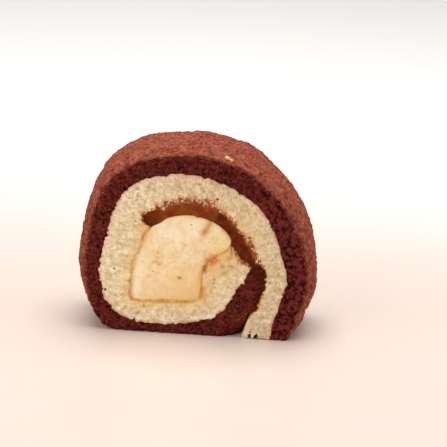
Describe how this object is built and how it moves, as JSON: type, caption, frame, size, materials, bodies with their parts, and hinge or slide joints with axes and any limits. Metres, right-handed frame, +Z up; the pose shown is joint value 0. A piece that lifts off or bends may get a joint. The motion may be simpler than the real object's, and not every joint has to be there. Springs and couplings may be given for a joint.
{
  "type": "rolled sponge cake slice",
  "caption": "Slice of a two-layer rolled sponge cake wound round a bar of custard, with caramel sauce over the bar, standing on its flat base.",
  "frame": {"origin": "on the table, at the bottom centre of the slice's box", "axes": "+X across the cut face towards the outer end of the sheet, +Y along the roll from the front cut face to the back one, +Z up"},
  "size_m": [0.074, 0.028, 0.0597],
  "materials": {
    "cocoa_sponge": "soft baked crumb, fine dry skin outside and open dark pores at the cut",
    "plain_sponge": "soft pale crumb with small pits, yellower where the custard has soaked in",
    "custard": "smooth moist satin with a few vanilla specks and a caramel line round its edge",
    "caramel": "dark glossy sauce, ragged where it soaks into the sponge"
  },
  "bodies": {
    "root": {"cocoa_sponge": "cocoa_sponge", "plain_sponge": "plain_sponge", "custard_bar": "custard", "caramel_sauce": "caramel"}
  },
  "joints": []
}
